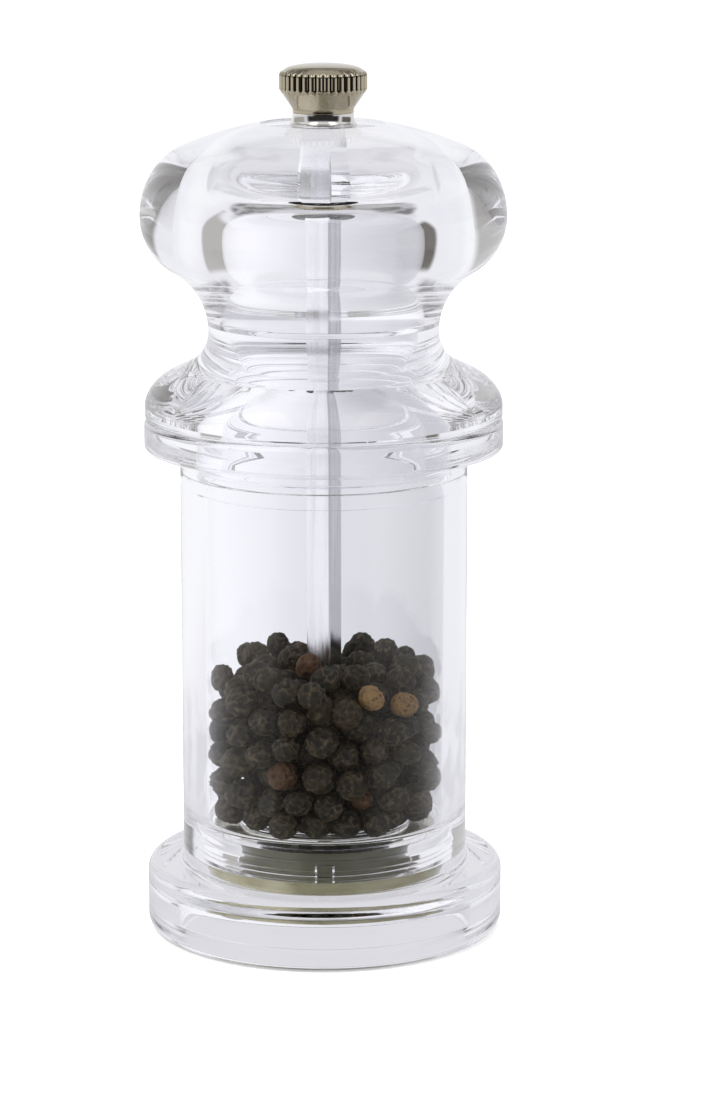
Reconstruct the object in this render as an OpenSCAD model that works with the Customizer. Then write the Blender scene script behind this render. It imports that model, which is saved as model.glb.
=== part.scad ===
// Acrylic pepper mill: a clear turned body and head, a square aluminium spindle
// and a conical steel mechanism in the base, trimmed by a knurled nut on top.
// Millimetres. Z is the turning axis, z = 0 is the table and -Y is the front.

/* [Body] */
// Height of the body, from the table to the joint with the head
body_h = 83.9; // [75:0.1:100]
// Outer diameter of the tube
tube_d = 46.2; // [45:0.1:50]
// Wall thickness of the tube
tube_wall = 3.9; // [3.4:0.1:4.6]
// Outer diameter of the base flange
base_d = 57.8; // [55:0.1:66]
// Thickness of the base flange
base_t = 11.2; // [10.4:0.1:14]
// Rounding of the base flange's top edge
base_edge = 1.9; // [0.8:0.1:2.5]
// Rounding of the base flange's foot
foot_edge = 2; // [0.8:0.1:2.5]
// Wall of the flange around the hollow underside
base_wall = 5.7; // [4.5:0.1:6.9]
// Height of the hollow underside
hollow_h = 8; // [7:0.1:8.6]
// Rounding of the hollow's upper corner
hollow_edge = 2.5; // [1:0.1:3.5]
// Diameter of the recess in the hollow's ceiling
recess_d = 38.4; // [37.4:0.1:38.6]
// Height of the recess above the hollow
recess_h = 4.3; // [3.5:0.1:4.6]
// Diameter of the collar under the joint
collar_d = 57.6; // [52:0.1:62]
// Thickness of the collar
collar_t = 5.06; // [4:0.02:7]
// Rounding of the collar's edges
collar_edge = 1; // [0.4:0.1:1.6]
// Fillet where the tube meets a flange
root_fillet = 0.7; // [0.3:0.1:1.5]
// Thickness of the chamber floor over the mechanism
floor_t = 2.2; // [1.5:0.1:4]
// Rounding of the chamber's lower corner
chamber_edge = 1.2; // [0.5:0.1:2.5]
// Diameter of the throat that feeds the mechanism
throat_d = 22; // [20:0.1:24]
// Depth of the mouth that takes the head's spigot
mouth_depth = 8.9; // [6:0.1:14]
// Step between the chamber wall and the mouth wall
mouth_step = 1.3; // [0.8:0.1:1.6]

/* [Head] */
// Diameter of the head's lower flange
skirt_d = 57.34; // [52:0.02:62]
// Height of the flange's straight edge
skirt_h = 1.9; // [1.2:0.1:4]
// Rounding of the flange's lower edge
skirt_edge = 0.6; // [0.3:0.1:1]
// Width of the sloping shoulder above the flange
shoulder_run = 11.5; // [9:0.1:13]
// Rise of the sloping shoulder
shoulder_rise = 7; // [5:0.1:8]
// Diameter of the neck
neck_d = 36.88; // [35:0.02:42]
// Height of the neck above the joint
neck_h = 13.85; // [13:0.05:18]
// Radius of the hollow curve below the neck
neck_low_r = 5.9; // [4.5:0.1:6.5]
// Radius of the hollow curve above the neck
neck_up_r = 11.2; // [9:0.1:13]
// Largest diameter of the bulb
bulb_d = 58.26; // [54:0.02:64]
// Height of the bulb's widest line above the joint
bulb_h = 32.25; // [30:0.05:38]
// Rise of the crown above the widest line
crown_rise = 11.6; // [9:0.1:14]
// Bore of the bulb
bulb_bore_d = 32; // [30.2:0.1:33]
// Bore of the neck
neck_bore_d = 30; // [27:0.1:30.2]
// Height of the step between the two bores above the joint
bore_step_h = 16; // [14:0.1:20]
// Bore of the spigot and flange
skirt_bore_d = 32.8; // [31:0.1:34]
// Thickness of the crown over the bore
crown_t = 13.4; // [10:0.1:18]
// Rounding of the bore's ceiling
ceiling_edge = 3; // [1:0.1:4]
// Length of the spigot that centres the head
spigot_l = 7.9; // [5:0.1:8.3]
// Radial clearance of the spigot in the mouth
spigot_gap = 0.25; // [0.2:0.05:0.5]
// Diameter of the flat seat around the ferrule
seat_d = 20; // [12:0.1:21]
// Depth of the seat for the ferrule
seat_depth = 1.1; // [0.4:0.1:1.5]

/* [Knob and ferrule] */
// Diameter over the knurled rim
knob_d = 13.9; // [12:0.1:18]
// Height of the knob
knob_h = 7.7; // [7.2:0.1:10]
// Height of the knurled rim
rim_h = 2.9; // [2:0.1:3.5]
// Diameter of the knob's foot
knob_foot_d = 9.7; // [8:0.1:9.9]
// Rise of the knob's domed top
knob_dome = 1.1; // [0.6:0.05:1.4]
// Number of knurl grooves
knurl_count = 36; // [24:1:44]
// Radius of a knurl groove
knurl_r = 0.32; // [0.2:0.02:0.36]
// Height of the ferrule
ferrule_h = 1.85; // [1.2:0.05:3]
// Diameter of the ferrule's foot
ferrule_d = 10.6; // [10:0.1:12]

/* [Spindle] */
// Side of the square bar
spindle_side = 4.25; // [3.8:0.05:4.6]
// Turn of the square bar about the axis, at rest
spindle_turn = 62.5; // [0:0.5:89]
// Diameter of the threaded end
thread_d = 4; // [3:0.1:4]
// Length of thread inside the knob
thread_grip = 4.5; // [3:0.1:4.8]
// Clearance of the square bar in its holes, a side
square_gap = 0.05; // [0.03:0.01:0.1]
// Radial clearance of the bar's corners in the guide
guide_gap = 0.1; // [0.06:0.01:0.2]

/* [Mechanism] */
// Outer diameter of the grinder ring
ring_d = 27.1; // [26:0.1:28]
// Height of the grinder ring
ring_h = 6.75; // [6.5:0.05:9]
// Smallest inner radius of the ring
ring_waist_r = 9.4; // [8.8:0.1:9.8]
// Inner radius of the ring's top edge
ring_mouth_r = 12.2; // [11.5:0.1:12.5]
// Slope of the fine teeth, radius gained for each millimetre down
fine_slope = 0.42; // [0.3:0.01:0.5]
// Radial gap between the fine teeth, at rest
grind_gap = 0.5; // [0.45:0.05:0.8]
// Height of the rotor's fine teeth
fine_h = 3.6; // [3:0.1:4]
// Height of the rotor's coarse teeth
coarse_h = 2.4; // [2:0.1:2.6]
// Radius of the rotor's top
rotor_top_r = 6.1; // [5.8:0.1:7]
// Number of fine teeth
fine_count = 30; // [20:1:40]
// Number of coarse teeth on the rotor
coarse_count = 6; // [4:1:8]
// Width of the ring's key
key_w = 2.2; // [1.6:0.1:4]
// Height of the ring's key
key_h = 1.7; // [1.2:0.1:2.2]
// Reach of the key beyond the ring
key_reach = 1; // [0.6:0.1:1.3]
// Thickness of the guide spider
spider_t = 1.2; // [1:0.1:2.5]
// Width of the spider's arms
arm_w = 3; // [2:0.1:4]
// Radius of the spider's hub
hub_r = 4.4; // [4:0.1:5]
// Drop of the hub below the arms
hub_drop = 0.85; // [0.6:0.05:1]
// Diameter of the spring's wire
wire_d = 0.7; // [0.5:0.05:0.75]
// Diameter over the spring's coils
spring_d = 8.8; // [8.4:0.1:9]
// Number of turns of the spring
spring_turns = 3; // [2:0.5:3]
// Thickness of the retaining plate
plate_t = 1.2; // [0.8:0.1:2]
// Diameter of the retaining plate
plate_d = 37.2; // [36.8:0.1:38.2]
// Hole in the retaining plate
plate_hole_d = 22; // [21.6:0.1:24]
// Distance of the plate's screws from the axis
screw_ring_r = 16.2; // [16:0.1:16.4]
// Diameter of the plate's screws
screw_d = 2; // [1.6:0.1:2.2]
// Length of the rotor's screw under its head
rotor_screw_l = 5.2; // [4:0.1:8]

/* [Peppercorns] */
// Diameter of a peppercorn
corn_d = 5; // [4.6:0.1:5]
// Depth of the peppercorns at the chamber's wall
heap_h = 26; // [15:0.5:40]

/* [Hidden] */

$fn = 96;
seat_gap = 0.05;
over = 0.5;
arc_steps = 10;
curve_steps = 16;
screw_count = 3;
arm_count = 3;

// radii of the body
tube_r = tube_d / 2;
chamber_r = tube_r - tube_wall;
mouth_r = chamber_r + mouth_step;
base_r = base_d / 2;
hollow_r = base_r - base_wall;
recess_r = recess_d / 2;
collar_r = collar_d / 2;

// mechanism radii
ring_r = ring_d / 2;
ring_fit = 0.15;
bore_r = ring_r + ring_fit;
key_fit = 0.1;
spindle_corner_r = spindle_side * sqrt(2) / 2;
thread_fit = 0.05;
washer_r = hub_r + 0.1;
spring_pocket_r = spring_d / 2 + 0.5;

// heights, from the table up
plate_z = hollow_h - seat_gap - plate_t;
ring_z = hollow_h + seat_gap;
recess_z = hollow_h + recess_h;
key_z = recess_z + seat_gap;
spider_z = ring_z + ring_h + seat_gap;
shoulder_z = spider_z + spider_t + seat_gap;
floor_z = shoulder_z + floor_t;
hub_z = spider_z - hub_drop;
washer_t = 0.5;
washer_z = hub_z - 2 * seat_gap - washer_t;
waist_z = ring_z + 2.85;
rotor_z = waist_z - 0.1 - fine_h;
pocket_h = 1.4;
web_t = 1.2;
web_z = rotor_z + pocket_h;
rotor_screw_z = web_z - washer_t - 2 * seat_gap;
screw_room = 0.5;
collar_z = body_h - collar_t;
mouth_z = body_h - mouth_depth;

// heights of the head
head_z = body_h + seat_gap;
skirt_r = skirt_d / 2;
shoulder_c = [skirt_r - shoulder_run, head_z + skirt_h];
neck_r = neck_d / 2;
neck_z = head_z + neck_h;
bulb_r = bulb_d / 2;
bulb_z = head_z + bulb_h;

// the bulb's lower arc is tangent to the curve above the neck
neck_reach = neck_r + neck_up_r - bulb_r;
bulb_arc_r = (pow(neck_reach, 2) + pow(bulb_h - neck_h, 2) - pow(neck_up_r, 2))
    / (2 * (neck_up_r - neck_reach));
bulb_c = [bulb_r - bulb_arc_r, bulb_z];
tangent_a = atan2(bulb_h - neck_h, neck_up_r + neck_r - bulb_c[0]);

// the shoulder and the neck's lower curve meet at one slope
shoulder_slope = 0.33;
shoulder_end_a = atan(shoulder_rise / (shoulder_run * shoulder_slope));

// the dome is a sphere about the axis, tangent to the crown's ellipse
crown_end_a = 70;
crown_end = bulb_c + [bulb_arc_r * cos(crown_end_a), crown_rise * sin(crown_end_a)];
dome_drop = crown_end[0] * bulb_arc_r * tan(crown_end_a) / crown_rise;
dome_r = norm([crown_end[0], dome_drop]);
dome_z = crown_end[1] - dome_drop;
dome_end_a = atan2(dome_drop, crown_end[0]);
top_z = dome_z + dome_r;
ceiling_z = top_z - crown_t;
ferrule_z = top_z - seat_depth;
knob_z = ferrule_z + ferrule_h + seat_gap;
thread_run = 1.6;
thread_z = ferrule_z - thread_run;
spindle_top_z = knob_z + thread_grip;
knob_bore_h = thread_grip + 1.1;

// points of an elliptical arc, from angle a0 to a1
function arc(c, rx, rz, a0, a1, n = arc_steps) =
    [for (i = [0:n]) let (a = a0 + (a1 - a0) * i / n) c + [rx * cos(a), rz * sin(a)]];

// points of a round arc
function bend(c, r, a0, a1, n = arc_steps) = arc(c, r, r, a0, a1, n);

// radius of the ring's fine teeth at height z
function ring_r_at(z) = ring_waist_r + fine_slope * (waist_z - z);

// outer outline of the head, from its lower flange to the axis
head_outline = concat(
    bend([skirt_r - skirt_edge, head_z + skirt_edge], skirt_edge, -90, 0),
    arc(shoulder_c, shoulder_run, shoulder_rise, 0, shoulder_end_a, curve_steps),
    bend([neck_r + neck_low_r, neck_z], neck_low_r, 180 + atan(1 / shoulder_slope), 180, curve_steps),
    bend([neck_r + neck_up_r, neck_z], neck_up_r, 180, 180 - tangent_a, curve_steps),
    bend(bulb_c, bulb_arc_r, -tangent_a, 0, curve_steps),
    arc(bulb_c, bulb_arc_r, crown_rise, 0, crown_end_a, curve_steps),
    bend([0, dome_z], dome_r, dome_end_a, 90, curve_steps)
);

// bore of the head, from the axis at its ceiling down to the spigot
head_bore = concat(
    [[0, ceiling_z]],
    bend([bulb_bore_d / 2 - ceiling_edge, ceiling_z - ceiling_edge], ceiling_edge, 90, 0),
    [
        [bulb_bore_d / 2, head_z + bore_step_h],
        [neck_bore_d / 2, head_z + bore_step_h - 1],
        [neck_bore_d / 2, head_z + 7],
        [skirt_bore_d / 2, head_z + 4],
        [skirt_bore_d / 2, head_z - spigot_l - over],
        [0, head_z - spigot_l - over]
    ]
);

// outline of the body's outside, from the foot up to the collar
body_outline = concat(
    bend([base_r - foot_edge, foot_edge], foot_edge, -90, 0),
    bend([base_r - base_edge, base_t - base_edge], base_edge, 0, 90),
    bend([tube_r + root_fillet, base_t + root_fillet], root_fillet, 270, 180),
    bend([tube_r + root_fillet, collar_z - root_fillet], root_fillet, 180, 90),
    bend([collar_r - collar_edge, collar_z + collar_edge], collar_edge, -90, 0),
    bend([collar_r - collar_edge, body_h - collar_edge], collar_edge, 0, 90)
);

// chamber, throat, mechanism bore and hollow underside, from the mouth down
body_bore = concat(
    [[mouth_r, body_h], [mouth_r, mouth_z], [chamber_r, mouth_z]],
    bend([chamber_r - chamber_edge, floor_z + chamber_edge], chamber_edge, 0, -90),
    [
        [throat_d / 2, floor_z], [throat_d / 2, shoulder_z], [bore_r, shoulder_z],
        [bore_r, recess_z], [recess_r, recess_z], [recess_r, hollow_h]
    ],
    bend([hollow_r - hollow_edge, hollow_h - hollow_edge], hollow_edge, 90, 0),
    [[hollow_r, 0]]
);

// outline of the knob: foot, flared cup, knurled rim and domed top
rim_r = knob_d / 2;
rim_z = knob_h - knob_dome - rim_h;
knob_edge = 0.8;
foot_h = 0.3;
cup_fillet = 1;
cup_slope = 32;
lip_w = 0.35;
lip_h = 0.55;
knob_outline = concat(
    [[0, 0], [knob_foot_d / 2, 0]],
    bend([knob_foot_d / 2 + cup_fillet, foot_h], cup_fillet, 180, 180 - cup_slope),
    [[rim_r - lip_w, rim_z - lip_h], [rim_r - lip_w / 4, rim_z]],
    bend([rim_r - knob_edge, knob_h - knob_dome - knob_edge], knob_edge, 0, 60),
    arc([0, knob_h - knob_dome], rim_r - knob_edge, knob_dome, 20, 90)
);

// a square prism about the axis, turned as the spindle is
module square_bar(side, z0, z1) {
    rotate([0, 0, spindle_turn])
        translate([0, 0, (z0 + z1) / 2])
            cube([side, side, z1 - z0], center = true);
}

module round_bar(r, z0, z1) {
    translate([0, 0, z0])
        cylinder(r = r, h = z1 - z0);
}

// copies of a child about the axis
module around(count, first = 0) {
    for (i = [0:count - 1])
        rotate([0, 0, first + 360 * i / count])
            children();
}

// where the plate's screws stand
module at_screws() {
    around(screw_count, 90)
        translate([screw_ring_r, 0, 0])
            children();
}

module body() {
    color("lavender", 0.4)
        difference() {
            rotate_extrude()
                polygon(concat(body_outline, body_bore));
            translate([-key_w / 2 - key_fit, -ring_r - key_reach - key_fit, recess_z - over])
                cube([key_w + 2 * key_fit, ring_r, key_z + key_h + key_fit - recess_z + over]);
        }
}

module head() {
    spigot_r = mouth_r - spigot_gap;
    color("lavender", 0.4)
        difference() {
            rotate_extrude()
                polygon(concat([[0, head_z - spigot_l], [spigot_r, head_z - spigot_l], [spigot_r, head_z]],
                    head_outline));
            rotate_extrude()
                polygon(head_bore);
            round_bar(seat_d / 2, ferrule_z, top_z + over);
            square_bar(spindle_side + 2 * square_gap, ceiling_z - over, ferrule_z + over);
        }
}

module head_ferrule() {
    waist = [knob_foot_d / 2, ferrule_z + ferrule_h];
    flare = ferrule_d / 2 - waist[0];
    color("silver")
        difference() {
            rotate_extrude()
                polygon(concat([[0, ferrule_z], [ferrule_d / 2, ferrule_z]],
                    arc([ferrule_d / 2, waist[1]], flare, ferrule_h - 0.3, 270, 180), [[0, waist[1]]]));
            round_bar(thread_d / 2 + 2 * guide_gap, ferrule_z - over, waist[1] + over);
        }
}

module adjust_knob() {
    color("darkkhaki")
        translate([0, 0, knob_z])
            difference() {
                rotate_extrude()
                    polygon(knob_outline);
                round_bar(thread_d / 2 + thread_fit, -over, knob_bore_h);
                around(knurl_count)
                    translate([rim_r + knurl_r / 3, 0, 0])
                        round_bar(knurl_r, rim_z - over, knob_h - knob_dome + over);
            }
}

module spindle() {
    color("gainsboro")
        difference() {
            union() {
                square_bar(spindle_side, web_z, thread_z);
                round_bar(thread_d / 2, thread_z - over, spindle_top_z);
            }
            round_bar(screw_d / 2 + thread_fit, web_z - over, rotor_screw_z + rotor_screw_l + screw_room);
        }
}

module grinder_ring() {
    top_z = ring_z + ring_h;
    color("dimgray")
        difference() {
            union() {
                rotate_extrude()
                    polygon([
                        [ring_r, ring_z], [ring_r, top_z], [ring_mouth_r, top_z],
                        [ring_waist_r, waist_z], [ring_r_at(ring_z), ring_z]
                    ]);
                translate([-key_w / 2, -ring_r - key_reach, key_z])
                    cube([key_w, key_reach + 1, key_h]);
            }
            around(fine_count)
                translate([ring_r_at(ring_z), 0, ring_z - over])
                    rotate([0, -atan(fine_slope), 0])
                        translate([-0.3, 0, 0])
                            cylinder(r = 0.5, h = waist_z - ring_z + over);
            around(2 * coarse_count)
                translate([ring_mouth_r, 0, top_z + over])
                    rotate([0, 180 + atan((ring_mouth_r - ring_waist_r) / (top_z - waist_z)), 0])
                        cylinder(r = 0.9, h = top_z - waist_z);
        }
}

module grinder_rotor() {
    fine_top_z = rotor_z + fine_h;
    top_z = fine_top_z + coarse_h;
    foot_r = ring_r_at(rotor_z) - grind_gap;
    shoulder_r = ring_r_at(fine_top_z) - grind_gap;
    color("slategray")
        difference() {
            rotate_extrude()
                polygon([
                    [0, rotor_z], [foot_r, rotor_z], [shoulder_r, fine_top_z],
                    [rotor_top_r, top_z], [0, top_z]
                ]);
            round_bar(spindle_corner_r + 1.2, rotor_z - over, web_z);
            round_bar(spring_pocket_r, web_z + web_t, top_z + over);
            square_bar(spindle_side + 2 * square_gap, rotor_z, top_z);
            around(fine_count)
                translate([foot_r, 0, rotor_z - over])
                    rotate([0, -atan(fine_slope), 0])
                        translate([0.3, 0, 0])
                            cylinder(r = 0.5, h = fine_h + over);
            around(coarse_count)
                translate([shoulder_r + 0.4, 0, fine_top_z - over])
                    rotate([0, -atan((shoulder_r - rotor_top_r) / coarse_h), 0])
                        rotate([20, 0, 0])
                            cylinder(r = 1, h = 2 * coarse_h);
        }
}

// one open helix of round wire, as a swept tube
module grind_spring() {
    wire_sides = 8;
    turn_steps = 20;
    rings = spring_turns * turn_steps;
    z0 = web_z + web_t + seat_gap + wire_d / 2;
    rise = washer_z - seat_gap - wire_d / 2 - z0;
    coil_r = (spring_d - wire_d) / 2;
    points = [
        for (i = [0:rings], j = [0:wire_sides - 1])
            let (a = 360 * i / turn_steps, b = 360 * j / wire_sides, r = coil_r + wire_d / 2 * cos(b))
                [r * cos(a), r * sin(a), z0 + rise * i / rings + wire_d / 2 * sin(b)]
    ];
    walls = [
        for (i = [0:rings - 1], j = [0:wire_sides - 1])
            let (k = (j + 1) % wire_sides, m = i * wire_sides)
                [m + j, m + k, m + wire_sides + k, m + wire_sides + j]
    ];
    first_end = [for (j = [wire_sides - 1:-1:0]) j];
    last_end = [for (j = [0:wire_sides - 1]) rings * wire_sides + j];
    color("silver")
        polyhedron(points, concat(walls, [first_end, last_end]));
}

module spring_washer() {
    color("silver")
        difference() {
            round_bar(washer_r, washer_z, washer_z + washer_t);
            square_bar(spindle_side + 2 * square_gap, washer_z - over, washer_z + washer_t + over);
        }
}

module guide_spider() {
    rim_in_r = throat_d / 2 + 0.6;
    color("gray")
        difference() {
            union() {
                difference() {
                    round_bar(ring_r, spider_z, spider_z + spider_t);
                    round_bar(rim_in_r, spider_z - over, spider_z + spider_t + over);
                }
                around(arm_count, 30)
                    translate([0, -arm_w / 2, spider_z])
                        cube([rim_in_r + 0.4, arm_w, spider_t]);
                round_bar(hub_r, hub_z, spider_z + spider_t);
            }
            round_bar(spindle_corner_r + guide_gap, hub_z - over, spider_z + spider_t + over);
        }
}

// fills the recess around the grinder ring
module carrier_ring() {
    color("khaki")
        difference() {
            round_bar(recess_r - ring_fit, ring_z, recess_z - seat_gap);
            round_bar(ring_r + ring_fit, ring_z - over, recess_z + over);
            at_screws()
                round_bar(screw_d / 2 + guide_gap, ring_z - over, recess_z + over);
        }
}

module retaining_plate() {
    color("khaki")
        difference() {
            round_bar(plate_d / 2, plate_z, plate_z + plate_t);
            round_bar(plate_hole_d / 2, plate_z - over, plate_z + plate_t + over);
            at_screws()
                round_bar(screw_d / 2 + guide_gap, plate_z - over, plate_z + plate_t + over);
        }
}

// a round-headed screw pointing up, with its head's seat at z = 0
module pan_screw(head_r, head_h, reach) {
    round_bar(screw_d / 2, -over, reach);
    translate([0, 0, -head_h])
        rotate_extrude()
            polygon(concat([[0, 0]], arc([0, head_h], head_r, head_h, -80, 0)));
}

module plate_screws() {
    head_r = 0.8 * screw_d;
    color("silver")
        at_screws()
            translate([0, 0, plate_z - seat_gap])
                pan_screw(head_r, 1, plate_t + recess_h - screw_room);
}

module rotor_washer() {
    color("silver")
        difference() {
            round_bar(spindle_corner_r + 0.7, web_z - seat_gap - washer_t, web_z - seat_gap);
            round_bar(screw_d / 2 + guide_gap, rotor_z, web_z);
        }
}

module rotor_screw() {
    color("silver")
        translate([0, 0, rotor_screw_z])
            pan_screw(screw_d, 0.8, rotor_screw_l);
}

// layers of peppercorns in rings about the spindle, with an uneven top
module peppercorns() {
    slack = 0.15;
    pitch = corn_d + slack;
    wall_ring_r = chamber_r - chamber_edge / 2 - pitch / 2;
    spindle_ring_r = spindle_corner_r + guide_gap + pitch / 2;
    rings = floor((wall_ring_r - spindle_ring_r) / pitch);
    color("saddlebrown")
        for (k = [0:rings]) {
            ring = wall_ring_r + (spindle_ring_r - wall_ring_r) * k / rings;
            count = floor(180 / asin(pitch / 2 / ring));
            rest_z = ring < throat_d / 2 - corn_d / 2 ? shoulder_z : floor_z;
            for (i = [0:count - 1]) {
                a = 360 * i / count;
                top = heap_h + corn_d * (sin(2 * a + 40) + sin(5 * a + 100 * k)) / 2.5;
                for (j = [0:floor(top / pitch) - 1])
                    translate([ring * cos(a), ring * sin(a), rest_z + slack / 3 + corn_d / 2 + pitch * j])
                        sphere(d = corn_d);
            }
        }
}

body();
head();
head_ferrule();
adjust_knob();
spindle();
grinder_ring();
grinder_rotor();
grind_spring();
spring_washer();
guide_spider();
carrier_ring();
retaining_plate();
plate_screws();
rotor_washer();
rotor_screw();
peppercorns();
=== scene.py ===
# Clear acrylic pepper mill: turned acrylic body and head, nickel knob, aluminium
# spindle, steel grinder and a heap of black peppercorns. Sizes are in millimetres
# and are scaled by mm when a mesh is made.
import math

import bmesh
import bpy
import numpy as np
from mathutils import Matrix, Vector, noise


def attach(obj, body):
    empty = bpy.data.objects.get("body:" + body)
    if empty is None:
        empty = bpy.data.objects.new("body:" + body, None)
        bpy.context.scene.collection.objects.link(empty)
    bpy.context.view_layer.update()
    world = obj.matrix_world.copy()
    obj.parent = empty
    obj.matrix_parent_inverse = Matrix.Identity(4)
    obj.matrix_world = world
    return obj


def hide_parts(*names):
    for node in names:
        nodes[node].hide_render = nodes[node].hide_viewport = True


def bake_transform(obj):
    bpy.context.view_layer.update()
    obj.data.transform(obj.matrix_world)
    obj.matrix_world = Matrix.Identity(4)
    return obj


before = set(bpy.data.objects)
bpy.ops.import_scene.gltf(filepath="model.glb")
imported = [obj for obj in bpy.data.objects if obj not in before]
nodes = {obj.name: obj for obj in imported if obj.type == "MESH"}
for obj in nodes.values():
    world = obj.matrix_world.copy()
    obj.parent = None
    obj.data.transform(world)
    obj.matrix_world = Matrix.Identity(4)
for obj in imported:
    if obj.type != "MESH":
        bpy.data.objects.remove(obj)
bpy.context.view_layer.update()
mm = 0.001
front = -math.pi / 2
print("frame loaded:", len(nodes), "nodes")


# camera

camera = {
    "place": (0, -580.8, 183.9), "pitch": 11.797, "yaw": 0.564,
    "focalPixels": 3676.8, "photoHeight": 1093, "sensor": 36,
}


def addCamera(c):
    data = bpy.data.cameras.new("camera")
    data.sensor_fit = "VERTICAL"
    data.sensor_height = c["sensor"]
    data.lens = c["focalPixels"] / c["photoHeight"] * c["sensor"]
    data.clip_start = 0.01
    obj = bpy.data.objects.new("camera", data)
    obj.location = Vector(c["place"]) * mm
    obj.rotation_euler = (math.radians(90 - c["pitch"]), 0, math.radians(-c["yaw"]))
    bpy.context.collection.objects.link(obj)
    bpy.context.scene.camera = obj


addCamera(camera)


# shader helpers

class Field:
    # a node's output that can be used in sums
    def __init__(self, shader, socket):
        self.shader = shader
        self.socket = socket

    def math(self, operation, *values):
        return self.shader.node("ShaderNodeMath", {"operation": operation}, dict(enumerate(values)))

    def size(self):
        return self.math("ABSOLUTE", self)

    def __add__(self, other):
        return self.math("ADD", self, other)

    def __radd__(self, other):
        return self.math("ADD", other, self)

    def __sub__(self, other):
        return self.math("SUBTRACT", self, other)

    def __rsub__(self, other):
        return self.math("SUBTRACT", other, self)

    def __mul__(self, other):
        return self.math("MULTIPLY", self, other)

    def __rmul__(self, other):
        return self.math("MULTIPLY", other, self)

    def __truediv__(self, other):
        return self.math("DIVIDE", self, other)

    def __pow__(self, other):
        return self.math("POWER", self, other)

    def above(self, other):
        return self.math("MAXIMUM", self, other)


class Shader:
    # a material's or the world's node tree
    def __init__(self, block):
        block.use_nodes = True
        self.tree = block.node_tree
        self.tree.nodes.clear()

    def node(self, kind, settings=None, sockets=None, out=0):
        made = self.tree.nodes.new(kind)
        for key, value in (settings or {}).items():
            if key == "stops":
                self.setStops(made.color_ramp, value)
            else:
                setattr(made, key, value)
        for key, value in (sockets or {}).items():
            if isinstance(value, Field):
                self.tree.links.new(value.socket, made.inputs[key])
            else:
                made.inputs[key].default_value = value
        return Field(self, made.outputs[out] if made.outputs else None)

    def setStops(self, ramp, stops):
        while len(ramp.elements) < len(stops):
            ramp.elements.new(1)
        for element, (position, colour) in zip(ramp.elements, stops):
            element.position = position
            element.color = (*colour, 1)

    def noise(self, scale, detail, vector):
        sockets = {"Scale": scale, "Detail": detail, "Roughness": 0.5, "Vector": vector}
        return self.node("ShaderNodeTexNoise", None, sockets)

    def objectPlace(self):
        return self.node("ShaderNodeTexCoord", out="Object")

    def parts(self, vector):
        return [self.node("ShaderNodeSeparateXYZ", None, {0: vector}, out=axis) for axis in "XYZ"]

    def stretched(self, vector, x, y, z):
        return self.node("ShaderNodeMapping", None, {"Vector": vector, "Scale": (x, y, z)})

    def ramp(self, factor, stops):
        return self.node("ShaderNodeValToRGB", {"stops": stops}, {"Fac": factor})

    def mixColour(self, factor, a, b):
        fill = lambda c: c if isinstance(c, Field) else (*c, 1)
        sockets = {0: factor, 6: fill(a), 7: fill(b)}
        return self.node("ShaderNodeMix", {"data_type": "RGBA"}, sockets, out=2)

    def bump(self, height, strength, distance):
        sockets = {"Height": height, "Strength": strength, "Distance": distance}
        return self.node("ShaderNodeBump", None, sockets)

    def principled(self, **values):
        sockets = {key.replace("_", " "): value for key, value in values.items()}
        shader = self.node("ShaderNodeBsdfPrincipled", None, sockets)
        self.node("ShaderNodeOutputMaterial", None, {"Surface": shader})
        return shader


def makeMaterial(name, build):
    material = bpy.data.materials.new(name)
    build(Shader(material))
    return material


# a smooth step from 0 at low to 1 at high
def ease(s, value, low, high):
    sockets = {"Value": value, "From Min": low, "From Max": high}
    return s.node("ShaderNodeMapRange", {"interpolation_type": "SMOOTHSTEP"}, sockets)


# materials

acrylicLook = {"tint": (0.985, 0.985, 0.995), "ior": 1.49, "haze": 0.012, "shine": (0.6, 0.57, 0.5)}


def acrylicNodes(s):
    place = s.objectPlace()
    cloud = s.noise(60, 4, place)
    scratch = s.noise(900, 2, s.stretched(place, 1, 1, 0.15))
    s.principled(
        Base_Color=(*acrylicLook["tint"], 1), Transmission_Weight=1.0, IOR=acrylicLook["ior"],
        Roughness=(cloud - 0.45).above(0) * acrylicLook["haze"],
        Specular_Tint=(*acrylicLook["shine"], 1), Normal=s.bump(scratch, 0.01, 0.00002),
    )


# the ribs of the knob, whose grooves are darkened with painted shade
ribLook = {
    "count": 36, "inner": 0.0061, "outer": 0.0064, "low": 0.1359, "lowFade": 0.0004,
    "high": 0.1384, "highFade": 0.0005, "grooveShade": (0.03, 0.025, 0.015),
}


def nickelNodes(s):
    look = ribLook
    place = s.objectPlace()
    cloud = s.noise(300, 4, place)
    fine = s.noise(2600, 2, place)
    x, y, z = s.parts(place)
    turn = x.math("ARCTAN2", y, x) * (look["count"] / 2)
    rib = turn.math("SINE", turn).size()
    onRim = ease(s, (x * x + y * y) ** 0.5, look["inner"], look["outer"])
    onRim = onRim * ease(s, z, look["low"], look["low"] + look["lowFade"])
    onRim = onRim * (1 - ease(s, z, look["high"], look["high"] + look["highFade"]))
    # painted shade: the grooves between the ribs are darkened towards a near-black colour
    groove = (1 - ease(s, rib, 0.12, 0.55)) * onRim
    plate = s.mixColour(cloud, (0.40, 0.35, 0.24), (0.52, 0.47, 0.345))
    s.principled(
        Base_Color=s.mixColour(groove, plate, look["grooveShade"]),
        Metallic=1.0, Roughness=0.06 + cloud * 0.1, Normal=s.bump(fine, 0.12, 0.00004),
    )


def chromeNodes(s):
    cloud = s.noise(400, 3, s.objectPlace())
    s.principled(
        Base_Color=s.mixColour(cloud, (0.70, 0.68, 0.63), (0.82, 0.81, 0.78)),
        Metallic=1.0, Roughness=0.05 + cloud * 0.06, Normal=s.bump(cloud, 0.03, 0.00003),
    )


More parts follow.
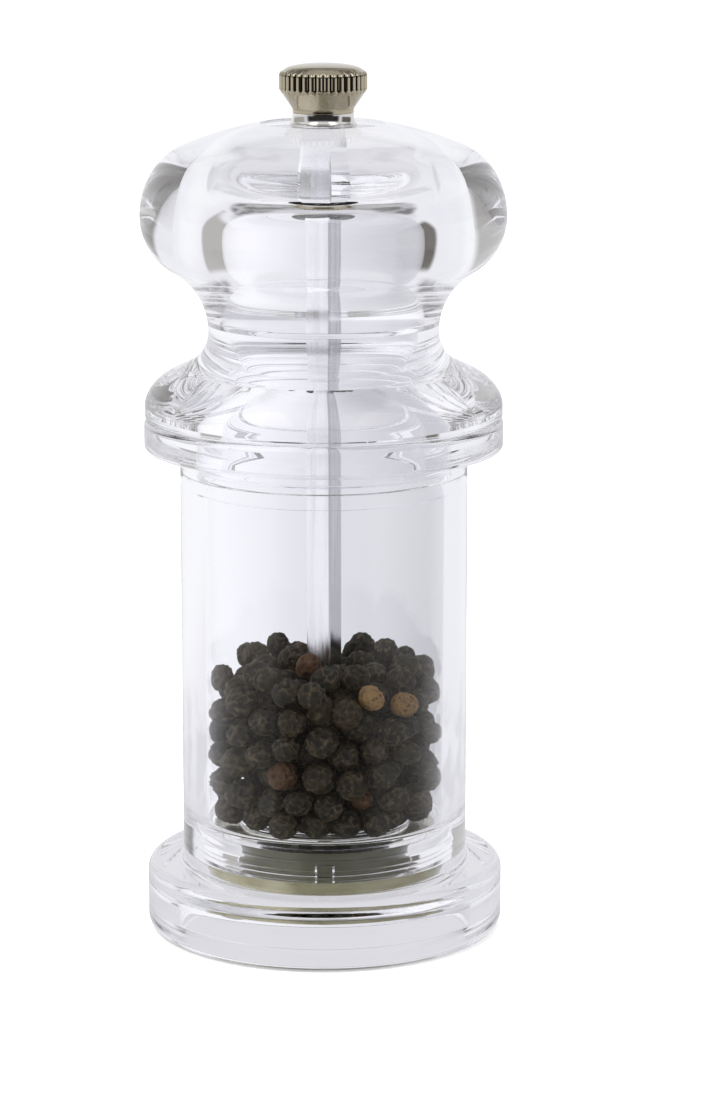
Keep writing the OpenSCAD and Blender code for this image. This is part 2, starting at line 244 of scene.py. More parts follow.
def aluminiumNodes(s):
    place = s.objectPlace()
    drawn = s.noise(2400, 4, s.stretched(place, 1, 1, 0.012))
    blotch = s.noise(180, 3, place)
    streak = ease(s, s.noise(620, 3, s.stretched(place, 1, 1, 0.05)), 0.38, 0.62)
    height = drawn * 0.7 + blotch * 0.3
    s.principled(
        Base_Color=s.mixColour(streak * 0.6 + drawn * 0.4, (0.76, 0.76, 0.78), (0.97, 0.97, 0.98)),
        Metallic=1.0, Roughness=0.1 + drawn * 0.16 + streak * 0.06, Normal=s.bump(height, 0.4, 0.00007),
    )


def toolSteelNodes(s):
    place = s.objectPlace()
    turned = s.noise(1500, 3, s.stretched(place, 0.1, 0.1, 1))
    blotch = s.noise(240, 4, place)
    s.principled(
        Base_Color=s.mixColour(blotch, (0.13, 0.13, 0.092), (0.21, 0.205, 0.15)),
        Metallic=0.75, Roughness=0.34 + turned * 0.2, Normal=s.bump(turned, 0.2, 0.00004),
    )


def brightSteelNodes(s):
    place = s.objectPlace()
    blotch = s.noise(500, 4, place)
    s.principled(
        Base_Color=s.mixColour(blotch, (0.50, 0.50, 0.49), (0.70, 0.70, 0.70)),
        Metallic=1.0, Roughness=0.2 + blotch * 0.18, Normal=s.bump(blotch, 0.12, 0.00003),
    )


def yellowZincNodes(s):
    place = s.objectPlace()
    blotch = s.noise(160, 4, place)
    hue = s.ramp(blotch, [(0.3, (0.34, 0.31, 0.18)), (0.55, (0.50, 0.47, 0.31)), (0.75, (0.40, 0.41, 0.30))])
    s.principled(
        Base_Color=hue, Metallic=0.7, Roughness=0.16 + blotch * 0.16, Normal=s.bump(blotch, 0.1, 0.00004),
    )


def pepperNodes(s):
    place = s.objectPlace()
    tint = s.node("ShaderNodeAttribute", {"attribute_name": "tint"}, out="Fac")
    fold = s.node("ShaderNodeAttribute", {"attribute_name": "fold"}, out="Fac")
    fine = s.noise(2600, 4, place)
    patch = s.noise(520, 3, place)
    husk = s.ramp(tint, [
        (0.0, (0.022, 0.019, 0.009)), (0.45, (0.038, 0.030, 0.013)), (0.72, (0.066, 0.046, 0.018)),
        (0.85, (0.16, 0.066, 0.024)), (1.0, (0.52, 0.31, 0.12)),
    ])
    # painted highlight: the crests of the folds are paled towards light brown, in random patches
    crestHighlight = ease(s, fold, 0.42, 0.06) * ease(s, patch, 0.3, 0.6)
    pale = s.mixColour(crestHighlight * 0.85, husk, (0.19, 0.145, 0.08))
    # painted shade: the creases between the folds are darkened almost to black
    dark = s.mixColour(ease(s, fold, 0.45, 0.95) * 0.75, pale, (0.007, 0.006, 0.004))
    speckled = s.mixColour(ease(s, fine, 0.58, 0.7) * 0.35, dark, (0.12, 0.10, 0.07))
    s.principled(
        Base_Color=speckled, Roughness=0.48 + fine * 0.3,
        Normal=s.bump(fine * 0.6 + patch * 0.4, 0.9, 0.0003),
    )


acrylic = makeMaterial("acrylic", acrylicNodes)
nickel = makeMaterial("nickel", nickelNodes)
chrome = makeMaterial("chromePlate", chromeNodes)
aluminium = makeMaterial("drawnAluminium", aluminiumNodes)
toolSteel = makeMaterial("toolSteel", toolSteelNodes)
brightSteel = makeMaterial("brightSteel", brightSteelNodes)
yellowZinc = makeMaterial("yellowZinc", yellowZincNodes)
pepperHusk = makeMaterial("pepperHusk", pepperNodes)
print("materials made")


# mesh helpers

def arc(centre, rx, rz, start, end, steps=12):
    turns = np.radians(np.linspace(start, end, steps + 1))
    return [(centre[0] + rx * math.cos(t), centre[1] + rz * math.sin(t)) for t in turns]


def bend(centre, radius, start, end, steps=8):
    return arc(centre, radius, radius, start, end, steps)


# corner points replaced by small arcs, so that edges catch the light
def eased(points, radius, steps=5):
    made = []
    count = len(points)
    for i in range(count):
        before, here, after = (np.array(points[(i + k) % count], float) for k in (-1, 0, 1))
        a, b = before - here, after - here
        la, lb = np.linalg.norm(a), np.linalg.norm(b)
        a, b = a / la, b / lb
        half = math.acos(max(-1, min(1, float(a @ b)))) / 2
        if half > math.radians(80) or here[0] < 1e-6:
            made.append(tuple(here))
            continue
        reach = min(radius / math.tan(half), 0.45 * la, 0.45 * lb)
        first, last = here + a * reach, here + b * reach
        for k in range(steps + 1):
            t = k / steps
            made.append(tuple((1 - t) ** 2 * first + 2 * t * (1 - t) * here + t ** 2 * last))
    return made


# points added so that no span of an outline is longer than a step
def dense(points, step, closed=True):
    made = []
    ends = points[1:] + points[:1] if closed else points[1:]
    for a, b in zip(points, ends):
        span = math.dist(a, b)
        parts = max(1, math.ceil(span / step))
        if span > 1e-7:
            run, rise = (b[0] - a[0]) / parts, (b[1] - a[1]) / parts
            made += [(a[0] + run * k, a[1] + rise * k) for k in range(parts)]
    return made if closed else made + [points[-1]]


def makeMesh(name, verts, faces, material, sharp=32):
    mesh = bpy.data.meshes.new(name)
    mesh.from_pydata([tuple(v) for v in verts], [], faces)
    mesh.update()
    mesh.shade_smooth()
    mesh.set_sharp_from_angle(angle=math.radians(sharp))
    mesh.materials.append(material)
    obj = bpy.data.objects.new(name, mesh)
    bpy.context.collection.objects.link(obj)
    return obj


# a turned solid: an outline swept about the axis, whose radius may change with the angle
def lathe(name, outline, material, segments=192, closed=True, shape=None, start=0.0, sharp=32):
    angles = start + np.arange(segments) * 2 * math.pi / segments
    verts, rows = [], []
    for r, z in outline:
        if r < 1e-6:
            rows.append([len(verts)])
            verts.append((0, 0, z * mm))
            continue
        row = []
        for a in angles:
            rr = shape(r, z, a) if shape else r
            row.append(len(verts))
            verts.append((rr * math.cos(a) * mm, rr * math.sin(a) * mm, z * mm))
        rows.append(row)
    faces = []
    pairs = list(zip(rows, rows[1:])) + ([(rows[-1], rows[0])] if closed else [])
    for low, high in pairs:
        for i in range(segments):
            k = (i + 1) % segments
            if len(low) == 1 and len(high) == 1:
                continue
            if len(low) == 1:
                faces.append((low[0], high[k], high[i]))
            elif len(high) == 1:
                faces.append((low[i], low[k], high[0]))
            else:
                faces.append((low[i], low[k], high[k], high[i]))
    return makeMesh(name, verts, faces, material, sharp)


# signed difference of two angles
def turnGap(a, b):
    return (a - b + math.pi) % (2 * math.pi) - math.pi


# acrylic body

body = {
    "height": 83.9, "tubeR": 23.1, "wall": 3.9,
    "baseR": 28.9, "baseT": 11.2, "baseEdge": 1.9, "footEdge": 2.0,
    "hollowR": 23.2, "hollowH": 8.0, "hollowEdge": 2.5,
    "collarR": 28.8, "collarT": 5.06, "collarEdge": 1.0, "root": 0.7,
    "floorZ": 18.3, "shoulderZ": 16.1, "chamberEdge": 1.2, "throatR": 11.0,
    "mouthStep": 1.3, "mouthDepth": 8.9, "boreR": 13.7, "recessR": 19.2, "recessZ": 12.3,
    "keyHalf": 1.2, "keyR": 14.65, "keyTop": 14.15, "ease": 0.18,
}


def bodyOutline(b):
    chamberR = b["tubeR"] - b["wall"]
    mouthR = chamberR + b["mouthStep"]
    mouthZ = b["height"] - b["mouthDepth"]
    collarZ = b["height"] - b["collarT"]
    outside = (
        bend((b["baseR"] - b["footEdge"], b["footEdge"]), b["footEdge"], -90, 0)
        + bend((b["baseR"] - b["baseEdge"], b["baseT"] - b["baseEdge"]), b["baseEdge"], 0, 90)
        + bend((b["tubeR"] + b["root"], b["baseT"] + b["root"]), b["root"], 270, 180)
        + bend((b["tubeR"] + b["root"], collarZ - b["root"]), b["root"], 180, 90)
        + bend((b["collarR"] - b["collarEdge"], collarZ + b["collarEdge"]), b["collarEdge"], -90, 0)
        + bend((b["collarR"] - b["collarEdge"], b["height"] - b["collarEdge"]), b["collarEdge"], 0, 90)
    )
    corner = b["chamberEdge"]
    inside = (
        eased([(mouthR + 3, b["height"]), (mouthR, b["height"]), (mouthR, mouthZ), (chamberR, mouthZ),
               (chamberR, mouthZ - 3)], b["ease"])[1:-1]
        + bend((chamberR - corner, b["floorZ"] + corner), corner, 0, -90)
        + eased([(b["throatR"] + 3, b["floorZ"]), (b["throatR"], b["floorZ"]),
                 (b["throatR"], b["shoulderZ"]), (b["boreR"], b["shoulderZ"]),
                 (b["boreR"], b["shoulderZ"] - 2)], b["ease"])[1:-1]
        + [(b["boreR"], b["keyTop"] + 0.02), (b["boreR"], b["keyTop"] - 0.02)]
        + eased([(b["boreR"], b["recessZ"] + 1), (b["boreR"], b["recessZ"]), (b["recessR"], b["recessZ"]),
                 (b["recessR"], b["hollowH"]), (b["recessR"] + 1, b["hollowH"])], b["ease"])[1:-1]
        + bend((b["hollowR"] - b["hollowEdge"], b["hollowH"] - b["hollowEdge"]), b["hollowEdge"], 90, 0)
        + eased([(b["hollowR"], 3), (b["hollowR"], 0), (b["hollowR"] + 3, 0)], b["ease"])[1:-1]
    )
    return outside + inside


# the slot for the ring's key, at the front of the bore
def keySlot(r, z, a):
    off = abs(turnGap(a, front))
    inSlot = off < math.asin(body["keyHalf"] / body["boreR"])
    atWall = abs(r - body["boreR"]) < body["ease"] + 0.01
    if inSlot and atWall and body["recessZ"] - 0.01 < z < body["keyTop"]:
        return body["keyR"] / math.cos(off)
    return r


bodyPiece = lathe("acrylicBody", dense(bodyOutline(body), 0.9), acrylic, 256, shape=keySlot)
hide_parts("body")
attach(bodyPiece, "body")
print("body turned")


# acrylic head

head = {
    "foot": 83.95, "skirtR": 28.67, "skirtH": 1.9, "skirtEdge": 0.6,
    "shoulderRun": 11.5, "shoulderRise": 7.0, "shoulderSlope": 0.33,
    "neckR": 18.44, "neckH": 13.85, "neckLow": 5.9, "neckUp": 11.2,
    "bulbR": 29.13, "bulbH": 32.25, "crownRise": 11.6, "crownEnd": 70,
    "bulbBore": 16.0, "neckBore": 15.0, "stepH": 16.0, "skirtBore": 16.4,
    "crownT": 13.4, "ceilingEdge": 3.8, "spigotR": 20.25, "spigotL": 7.9,
    "seatR": 10.0, "seatDepth": 1.1, "ripple": 0.012, "rippleRun": 6.0, "hole": 4.35, "ease": 0.18,
}
spindleTurn = math.radians(62.5)


# faint polishing rings around the seat
def ripple(h, r):
    off = r - h["seatR"]
    return h["ripple"] * math.sin(off * 3.2) * max(0, 1 - off / h["rippleRun"])


def headShape(h):
    neckZ, bulbZ = h["foot"] + h["neckH"], h["foot"] + h["bulbH"]
    rise = h["bulbH"] - h["neckH"]
    reach = h["neckR"] + h["neckUp"] - h["bulbR"]
    lobe = (reach ** 2 + rise ** 2 - h["neckUp"] ** 2) / (2 * (h["neckUp"] - reach))
    bulbC = (h["bulbR"] - lobe, bulbZ)
    tangent = math.degrees(math.atan2(rise, h["neckUp"] + h["neckR"] - bulbC[0]))
    shoulderC = (h["skirtR"] - h["shoulderRun"], h["foot"] + h["skirtH"])
    shoulderEnd = math.degrees(math.atan(h["shoulderRise"] / (h["shoulderRun"] * h["shoulderSlope"])))
    lowStart = 180 + math.degrees(math.atan(1 / h["shoulderSlope"]))
    end = math.radians(h["crownEnd"])
    crown = (bulbC[0] + lobe * math.cos(end), bulbC[1] + h["crownRise"] * math.sin(end))
    drop = crown[0] * lobe * math.tan(end) / h["crownRise"]
    domeR = math.hypot(crown[0], drop)
    domeZ = crown[1] - drop
    topZ = domeZ + domeR
    seatA = math.degrees(math.acos(h["seatR"] / domeR))
    seatZ = topZ - h["seatDepth"]
    ceilingZ = topZ - h["crownT"]
    holeR = h["hole"] / 2
    domeStart = math.degrees(math.atan2(drop, crown[0]))
    dome = [(r, z + ripple(h, r)) for r, z in bend((0, domeZ), domeR, domeStart, seatA, 80)]
    outer = (
        bend((h["skirtR"] - h["skirtEdge"], h["foot"] + h["skirtEdge"]), h["skirtEdge"], -90, 0)
        + arc(shoulderC, h["shoulderRun"], h["shoulderRise"], 0, shoulderEnd, 24)
        + bend((h["neckR"] + h["neckLow"], neckZ), h["neckLow"], lowStart, 180, 20)
        + bend((h["neckR"] + h["neckUp"], neckZ), h["neckUp"], 180, 180 - tangent, 24)
        + bend(bulbC, lobe, -tangent, 0, 24)
        + arc(bulbC, lobe, h["crownRise"], 0, h["crownEnd"], 28)
        + dome
        + [(h["seatR"], seatZ), (holeR + 0.02, seatZ), (holeR, seatZ - 0.02),
           (holeR, ceilingZ + 0.02), (holeR + 0.02, ceilingZ)]
    )
    bore = (
        bend((h["bulbBore"] - h["ceilingEdge"], ceilingZ - h["ceilingEdge"]), h["ceilingEdge"], 90, 0)
        + eased([(h["bulbBore"], ceilingZ - 6), (h["bulbBore"], h["foot"] + h["stepH"]),
                 (h["neckBore"], h["foot"] + h["stepH"] - 1), (h["neckBore"], h["foot"] + 7),
                 (h["skirtBore"], h["foot"] + 4), (h["skirtBore"], h["foot"] - h["spigotL"]),
                 (h["spigotR"], h["foot"] - h["spigotL"]), (h["spigotR"], h["foot"]),
                 (h["spigotR"] + 4, h["foot"])], h["ease"])[1:-1]
    )
    return outer + bore, seatZ, ceilingZ


# the drive hole is square: its radius follows the four sides
def squareHole(r, z, a):
    if r > head["hole"] / 2 + 0.03 or z < 110:
        return r
    t = (a - spindleTurn + math.pi / 4) % (math.pi / 2) - math.pi / 4
    return r / math.cos(t)


headOutline, seatZ, ceilingZ = headShape(head)
headPiece = lathe("acrylicHead", dense(headOutline, 0.9), acrylic, 256, shape=squareHole, start=spindleTurn)
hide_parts("head")
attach(headPiece, "head")
print("head turned, seat at", round(seatZ, 2))


# ferrule and knob

ferrule = {"height": 1.85, "footR": 5.3, "topR": 4.85, "rim": 0.3, "holeR": 2.2, "ease": 0.12}
knob = {
    "height": 7.7, "rimR": 6.95, "rimH": 2.9, "footR": 4.85, "footH": 0.3,
    "cupFillet": 1.0, "cupSlope": 32, "lipW": 0.35, "lipH": 0.55, "dome": 1.1, "edge": 0.8,
    "ribs": ribLook["count"], "ribDepth": 0.36, "boreR": 2.05, "boreH": 5.6, "ease": 0.1,
}
knobZ = seatZ + ferrule["height"] + 0.05


def addFerrule(f):
    top = seatZ + f["height"]
    flare = f["footR"] - f["topR"]
    rim = seatZ + f["rim"]
    foot = [(f["holeR"], top), (f["holeR"], seatZ), (f["footR"], seatZ), (f["footR"], rim)]
    outline = eased(foot, f["ease"])[:-1] + arc((f["footR"], top), flare, top - rim, 270, 180)
    return lathe("headFerrule", dense(outline, 0.3), chrome, 128)


def knobOutline(k):
    rimZ = k["height"] - k["dome"] - k["rimH"]
    top = k["height"] - k["dome"]
    slope = math.radians(180 - k["cupSlope"])
    fillet = k["cupFillet"]
    coneFoot = (k["footR"] + fillet * (1 + math.cos(slope)), k["footH"] + fillet * math.sin(slope))
    outline = (
        [(0, k["boreH"] + 0.6), (k["boreR"], k["boreH"]), (k["boreR"], 0.3), (k["boreR"] + 0.3, 0)]
        + eased([(2.6, 0), (k["footR"], 0), (k["footR"], 0.6)], k["ease"])[1:-2]
        + bend((k["footR"] + fillet, k["footH"]), fillet, 180, 180 - k["cupSlope"])
        + dense([coneFoot, (k["rimR"] - k["lipW"], rimZ - k["lipH"])], 0.2, closed=False)
        + dense([(k["rimR"], rimZ), (k["rimR"], top - k["edge"])], 0.12, closed=False)
        + bend((k["rimR"] - k["edge"], top - k["edge"]), k["edge"], 0, 62, 6)
        + arc((0, top), k["rimR"] - k["edge"], k["dome"], 20, 90, 14)
    )
    return [(max(r, 0), z + knobZ) for r, z in outline], rimZ + knobZ, top + knobZ


def addKnob(k):
    outline, rimLow, rimHigh = knobOutline(k)

    # rounded ribs with narrow grooves, fading out at both ends of the rim
    def ribs(r, z, a):
        if r < k["rimR"] - 1.2 or z < rimLow - 0.5:
            return r
        fade = min(1, max(0, (z - rimLow + 0.25) / 0.35)) * min(1, max(0, (rimHigh - 0.08 - z) / 0.3))
        wave = abs(math.sin(a * k["ribs"] / 2))
        return r - k["ribDepth"] * fade * (1 - wave ** 0.7)

    return lathe("adjustKnob", outline, nickel, k["ribs"] * 10, closed=False, shape=ribs, sharp=50)


ferrulePiece = addFerrule(ferrule)
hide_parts("head_ferrule")
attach(ferrulePiece, "head")
knobPiece = addKnob(knob)
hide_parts("adjust_knob")
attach(knobPiece, "knob")
print("knob and ferrule made")


# spindle: a square bar with broken corners and a threaded end

spindle = {
    "side": 4.25, "chamfer": 0.22, "foot": 8.6, "shoulder": 129.0,
    "threadR": 2.0, "core": 1.62, "pitch": 0.7, "top": 137.0,
}


def addSpindle(s):
    half, cut = s["side"] / 2, s["chamfer"]
    ring = []
    for quarter in range(4):
        a = quarter * math.pi / 2 + spindleTurn
        for x, y in ((half, -half + cut), (half, half - cut), (half - cut, half)):
            ring.append((x * math.cos(a) - y * math.sin(a), x * math.sin(a) + y * math.cos(a)))
        ring.pop()
    heights = [s["foot"]] + list(np.arange(12, s["shoulder"], 4)) + [s["shoulder"]]
    count = len(ring)
    verts = [(x * mm, y * mm, z * mm) for z in heights for x, y in ring]
    faces = []
    for j in range(len(heights) - 1):
        low, high = j * count, (j + 1) * count
        for i in range(count):
            k = (i + 1) % count
            faces.append((low + i, low + k, high + k, high + i))
    faces.append(tuple(range(count - 1, -1, -1)))
    faces.append(tuple(range((len(heights) - 1) * count, len(heights) * count)))
    return makeMesh("spindleBar", verts, faces, aluminium, 20)


# a screw thread: the outline's radius follows a helix
def addThread(name, material, s, segments=48):
    core, pitch, low, high = s["core"], s["pitch"], s["shoulder"], s["top"]

    def helix(r, z, a):
        if r < core - 0.01:
            return r
        phase = ((z - low) / pitch - a / (2 * math.pi)) % 1
        ridge = 1 - abs(phase * 2 - 1)
        end = min(1, max(0, (high - z) / 0.5))
        return core + (s["threadR"] - core) * min(1, ridge * 1.5) * end

    steps = int((high - low) / (pitch / 8))
    heights = [low + (high - low) * k / steps for k in range(steps + 1)]
    outline = [(0, low)] + [(core, z) for z in heights] + [(core - 0.3, high), (0, high)]
    return lathe(name, outline, material, segments, closed=False, shape=helix, sharp=40)


spindlePiece = addSpindle(spindle)
threadPiece = addThread("spindleThread", aluminium, spindle)
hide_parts("spindle")
for piece in (spindlePiece, threadPiece):
    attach(piece, "spindle")
print("spindle made")


# grinding spring

spring = {"coilR": 4.05, "wireR": 0.35, "low": 10.2, "high": 12.95, "turns": 3, "steps": 40, "sides": 12}


def addSpring(s):
    count = s["turns"] * s["steps"]
    verts = []
    for i in range(count + 1):
        a = 2 * math.pi * i / s["steps"]
        z = s["low"] + (s["high"] - s["low"]) * i / count
        for j in range(s["sides"]):
            b = 2 * math.pi * j / s["sides"]
            r = s["coilR"] + s["wireR"] * math.cos(b)
            verts.append((r * math.cos(a) * mm, r * math.sin(a) * mm, (z + s["wireR"] * math.sin(b)) * mm))
    n = s["sides"]
    faces = [
        (i * n + j, (i + 1) * n + j, (i + 1) * n + (j + 1) % n, i * n + (j + 1) % n)
        for i in range(count) for j in range(n)
    ]
    faces.append(tuple(range(n)))
    faces.append(tuple(range((count + 1) * n - 1, count * n - 1, -1)))
    return makeMesh("grindSpring", verts, faces, brightSteel, 60)


springPiece = addSpring(spring)
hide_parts("grind_spring")
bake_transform(springPiece)


# peppercorns

heap = {
    "seed": 11, "cornR": 2.5, "wallR": 19.15, "floorZ": 18.35, "throatR": 10.9, "throatZ": 16.2,
    "barR": 3.05, "count": 330, "topZ": 42.6, "crown": 4.2, "templates": 14, "tries": 260, "paleSize": 0.84,
    "paleCorns": [((8.6, 42.6), 1.0), ((13.0, 40.6), 0.97), ((-4.2, 46.0), 0.84), ((7.0, 23.0), 0.85)],
}


# one wrinkled corn: a ball with a net of raised folds, and how deep each point lies between them
def cornTemplate(k):
    ball = bmesh.new()
    bmesh.ops.create_icosphere(ball, subdivisions=4, radius=1)
    shift = Vector((k * 7.3, k * 3.1, k * 5.7))
    points, depths = [], []
    for v in ball.verts:
        p = v.co.normalized()
        bent = p + noise.noise_vector(p * 2.3 + shift) * 0.22
        near = noise.voronoi(bent * 1.75 + shift)[0]
        fold = min(1, (near[1] - near[0]) * 2.1)
        small = noise.voronoi(bent * 4.2 + shift)[0]
        crease = min(1, (small[1] - small[0]) * 2.2)
        swell = noise.noise(p * 1.2 + shift) * 0.08
        points.append(p * (1.03 - 0.17 * fold ** 0.7 - 0.05 * crease + swell))
        depths.append(0.75 * fold + 0.25 * crease)
    faces = [[v.index for v in f.verts] for f in ball.faces]
    ball.free()
    return np.array([tuple(p) for p in points]), faces, depths


# each corn drops to the lowest of some places tried at random
def packCorns(h):
    rng = np.random.default_rng(h["seed"])
    placed = np.zeros((0, 4))
    for _ in range(h["count"]):
        r = h["cornR"] * rng.uniform(0.86, 1.06)
        reach = h["wallR"] - r
        rad = np.concatenate([reach * np.sqrt(rng.uniform(0.05, 1, h["tries"])), np.full(90, reach)])
        ang = rng.uniform(0, 2 * math.pi, rad.size)
        x, y = rad * np.cos(ang), rad * np.sin(ang)
        ok = rad > h["barR"] + r
        x, y, rad = x[ok], y[ok], rad[ok]
        z = np.where(rad + r < h["throatR"], h["throatZ"], h["floorZ"]) + r
        if len(placed):
            dx = x[:, None] - placed[None, :, 0]
            dy = y[:, None] - placed[None, :, 1]
            touch = (r + placed[None, :, 3]) ** 2 - dx ** 2 - dy ** 2
            lift = np.where(touch > 0, placed[None, :, 2] + np.sqrt(np.maximum(touch, 0)), 0)
            z = np.maximum(z, lift.max(axis=1))
        wave = 0.7 * np.sin(3 * np.arctan2(y, x) + 0.6) + h["crown"] * (1 - (rad / reach) ** 2)
        best = int(np.argmin(z - wave))
        if z[best] + r * 0.4 < h["topZ"] + wave[best]:
            placed = np.vstack([placed, [x[best], y[best], z[best], r]])
    return placed


def addCorns(h):
    rng = np.random.default_rng(h["seed"] + 1)
    # without a seed, noise_vector takes its offsets from the clock
    noise.seed_set(h["seed"])
    templates = [cornTemplate(k) for k in range(h["templates"])]
    corns = packCorns(h)
    verts, faces, tints, folds = [], [], [], []
    # the corns nearest to these places, at the front, are the pale and the reddish ones
    pale = {}
    for (px, pz), paleTint in h["paleCorns"]:
        away = [math.hypot(x - px, z - pz) + max(0, y + 10) * 0.3 for x, y, z, r in corns]
        pale[int(np.argmin(away))] = paleTint
    for n, (x, y, z, r) in enumerate(corns):
        points, ballFaces, depths = templates[n % len(templates)]
        q, _ = np.linalg.qr(rng.normal(size=(3, 3)))
        if np.linalg.det(q) < 0:
            q[:, 0] *= -1
        squash = np.array([1, 1, rng.uniform(0.9, 1)]) * (h["paleSize"] if n in pale else 1)
        base = len(verts)
        verts += list(((points * squash) @ q.T * r * 1.03 + (x, y, z)) * mm)
        faces += [[v + base for v in f] for f in ballFaces]
        tint = rng.uniform(0, 0.72) if rng.uniform() < 0.985 else rng.uniform(0.76, 0.86)
        tint = pale.get(n, tint)
        tints += [tint] * len(points)
        folds += depths
    piece = makeMesh("peppercornHeap", verts, faces, pepperHusk, 80)
    for layerName, values in (("tint", tints), ("fold", folds)):
        layer = piece.data.attributes.new(layerName, "FLOAT", "POINT")
        layer.data.foreach_set("value", values)
    return piece, len(corns)


cornPiece, cornCount = addCorns(heap)
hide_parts("peppercorns")
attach(cornPiece, "body")
print("peppercorns packed:", cornCount)


# CAD nodes that keep their shape

finishes = {
    "grinder_ring": toolSteel, "grinder_rotor": toolSteel, "guide_spider": toolSteel,
    "spring_washer": brightSteel, "carrier_ring": yellowZinc, "retaining_plate": yellowZinc,
    "plate_screws": brightSteel, "rotor_washer": brightSteel, "rotor_screw": brightSteel,
}
for name, material in finishes.items():
    mesh = nodes[name].data
    mesh.materials.clear()
    mesh.materials.append(material)
print("mechanism finished")


# floor, light and background

stageLook = {
    "floorSize": 3.0, "nearGlow": (0.35, 0.35, 0.35), "farGlow": (0.55, 0.55, 0.55),
    "skyDiffuse": (0.6, 0.6, 0.6),
    "key": (-0.45, -0.35, 0.85, 0.6, 7.0), "fill": (0.6, -0.3, 0.6, 0.5, 4.0),
    "back": (0.0, 0.6, 0.7, 0.8, 5.0),
    "room": (0.84, 0.84, 0.885), "behindLeft": (0.955, 0.96, 0.985), "behindRight": (0.87, 0.88, 0.92),
    "above": (0.66, 0.66, 0.70), "cloud": (0.58, 0.58, 0.62), "nearShadow": (0.73, 0.73, 0.765),
    "frontDark": (0.03, 0.03, 0.03), "frontGrey": (0.19, 0.185, 0.18), "arch": (0.20, 0.195, 0.20),
    "leftGap": (0.46, 0.45, 0.44), "rightGap": (0.15, 0.14, 0.13), "softbox": (2.2, 2.2, 2.3),
    "insideLeft": (1.04, 1.04, 1.08), "insideRight": (0.6, 0.6, 0.64), "insideFront": (0.44, 0.45, 0.40),
}


def lightPath(s, out):
    return s.node("ShaderNodeLightPath", out=out)


# the studio's front: black in the outer surfaces' reflections and grey in the acrylic's
def frontColour(s):
    passes = lightPath(s, "Transmission Depth")
    return s.mixColour(ease(s, passes, 0.5, 1.5), stageLook["frontDark"], stageLook["frontGrey"])


# what the metal inside mirrors: bright on the left, greyer on the right, dim in front
def insideColour(s, side, ahead):
    room = s.mixColour(ease(s, side, -0.4, 0.4), stageLook["insideLeft"], stageLook["insideRight"])
    return s.mixColour(ease(s, ahead, 0.84, 0.96), room, stageLook["insideFront"])


# plain paper for the eye; glass and metal see a glowing painted picture on it, bright behind the mill, dark
# in front of it and with a painted shadow close around it
def floorNodes(s):
    look = stageLook
    place = s.objectPlace()
    x, y, _ = s.parts(place)
    paper = s.noise(30, 4, place)
    pale = s.mixColour(paper, (0.80, 0.80, 0.81), (0.84, 0.84, 0.85))
    diffuse = s.node("ShaderNodeBsdfDiffuse", None, {"Color": pale})
    far = (x * x + y * y) ** 0.5
    glow = s.mixColour(ease(s, far, 0.1, 0.9), look["nearGlow"], look["farGlow"])
    glow = s.mixColour(lightPath(s, "Is Camera Ray"), (0, 0, 0), glow)
    shine = s.node("ShaderNodeEmission", None, {"Color": glow})
    plain = s.node("ShaderNodeAddShader", None, {0: diffuse, 1: shine})
    behind = s.mixColour(ease(s, x, -0.03, 0.05), look["behindLeft"], look["behindRight"])
    # painted shadow: the picture that glass and metal see is darker within a few centimetres of the mill
    lit = s.mixColour(ease(s, far, 0.05, 0.12), look["nearShadow"], look["room"])
    lit = s.mixColour(ease(s, y, 0.06, 0.2), lit, behind)
    swirl = ease(s, s.noise(26, 2, place), 0.45, 0.58) * (1 - ease(s, far, 0.13, 0.18))
    swirl = swirl * ease(s, y, 0.0, 0.03)
    lit = s.mixColour(swirl * 0.5, lit, look["cloud"])
    ahead = y * -1 / far
    outside = 1 - ease(s, lightPath(s, "Transmission Depth"), 0.5, 1.5)
    wide = ease(s, ahead, 0.0, 0.3) * (1 - ease(s, far, 0.2, 0.25)) * outside
    facing = ease(s, ahead, 0.7, 0.88).above(wide) * ease(s, far, 0.055, 0.1)
    lit = s.mixColour(facing, lit, frontColour(s))
    inner = ease(s, lightPath(s, "Transmission Depth"), 2.5, 3.5)
    lit = s.mixColour(inner, lit, insideColour(s, x / far, ahead))
    picture = s.node("ShaderNodeEmission", None, {"Color": lit})
    both = s.node("ShaderNodeMixShader", None, {0: lightPath(s, "Is Glossy Ray"), 1: plain, 2: picture})
    s.node("ShaderNodeOutputMaterial", None, {"Surface": both})


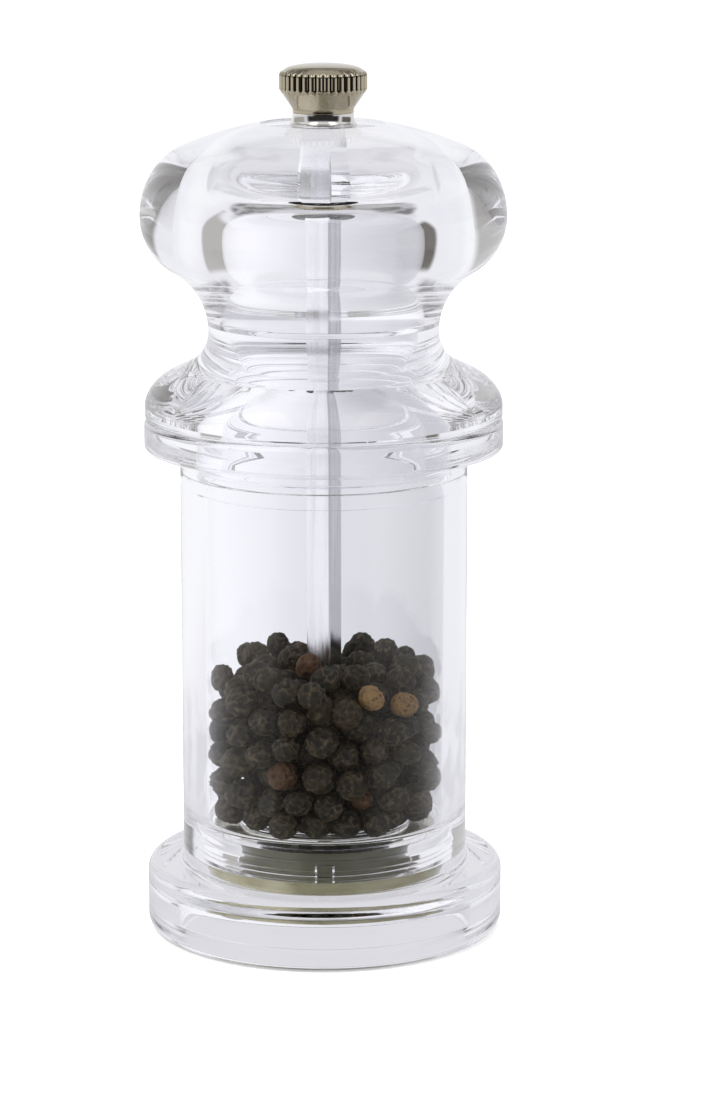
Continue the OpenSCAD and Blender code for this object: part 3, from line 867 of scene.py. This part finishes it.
# white for the eye; glass and metal see a soft studio with dark gaps at the sides, a dark arch
# behind and a dark front
def worldNodes(s):
    look = stageLook
    direction = s.node("ShaderNodeTexCoord", out="Generated")
    x, y, z = s.parts(direction)
    behind = s.mixColour(ease(s, x, -0.2, 0.3), look["behindLeft"], look["behindRight"])
    lit = s.mixColour(ease(s, y, 0.6, 0.92) * (1 - ease(s, z, 0.1, 0.6)), look["room"], behind)
    lit = s.mixColour(ease(s, z, 0.62, 0.8), lit, look["above"])
    clouds = ease(s, s.noise(2.6, 2, direction), 0.46, 0.6) * ease(s, z, 0.66, 0.8)
    lit = s.mixColour(clouds * 0.7, lit, look["cloud"])
    arch = ease(s, z, 0.43, 0.56) * (1 - ease(s, z, 0.80, 0.88)) * ease(s, y, 0.2, 0.4)
    arch = arch * (0.55 + ease(s, s.noise(5, 3, direction), 0.4, 0.6) * 0.45)
    lit = s.mixColour(arch, lit, look["arch"])
    gaps = ease(s, x * -1, 0.66, 0.72) + ease(s, x, 0.80, 0.86)
    gaps = gaps * ease(s, z, -0.01, 0.03) * (1 - ease(s, z, 0.34, 0.42)) * ease(s, y, -0.35, -0.2)
    gapColour = s.mixColour(ease(s, x, -0.1, 0.1), look["leftGap"], look["rightGap"])
    lit = s.mixColour(gaps, lit, gapColour)
    outside = 1 - ease(s, lightPath(s, "Transmission Depth"), 0.5, 1.5)
    wide = ease(s, y * -1, 0.35, 0.6) * outside
    facing = ease(s, y * -1, 0.7, 0.92).above(wide) * (1 - ease(s, z, 0.25, 0.5))
    lit = s.mixColour(facing, lit, frontColour(s))
    inner = ease(s, lightPath(s, "Transmission Depth"), 2.5, 3.5)
    room = s.mixColour(inner, lit, insideColour(s, x, y * -1))
    box = ease(s, x.size(), 0.3, 0.34) * (1 - ease(s, x.size(), 0.62, 0.66)) * ease(s, y * -1, 0.2, 0.24)
    box = box * ease(s, z, 0.40, 0.44) * outside
    room = s.mixColour(box, room, look["softbox"])
    colour = s.mixColour(lightPath(s, "Is Glossy Ray"), look["skyDiffuse"], room)
    colour = s.mixColour(lightPath(s, "Is Camera Ray"), colour, (1, 1, 1))
    sky = s.node("ShaderNodeBackground", None, {"Color": colour})
    s.node("ShaderNodeOutputWorld", None, {"Surface": sky})


def addStage(look):
    size = look["floorSize"]
    corners = [(-size, -size, 0), (size, -size, 0), (size, size, 0), (-size, size, 0)]
    floor = makeMesh("floor", corners, [(0, 1, 2, 3)], makeMaterial("floorPaper", floorNodes))
    world = bpy.data.worlds.new("studio")
    worldNodes(Shader(world))
    bpy.context.scene.world = world
    for name in ("key", "fill", "back"):
        x, y, z, width, power = look[name]
        lamp = bpy.data.lights.new(name, "AREA")
        lamp.shape = "SQUARE"
        lamp.size = width
        lamp.energy = power
        obj = bpy.data.objects.new(name, lamp)
        obj.location = (x, y, z)
        obj.visible_glossy = False
        obj.visible_transmission = False
        obj.rotation_euler = (Vector((0, 0, 0.07)) - obj.location).to_track_quat("-Z", "Y").to_euler()
        bpy.context.collection.objects.link(obj)


addStage(stageLook)
bpy.context.scene.view_settings.view_transform = "Standard"
bpy.context.scene.cycles.max_bounces = 32
bpy.context.scene.cycles.transmission_bounces = 32
bpy.context.scene.cycles.glossy_bounces = 32
print("stage set")
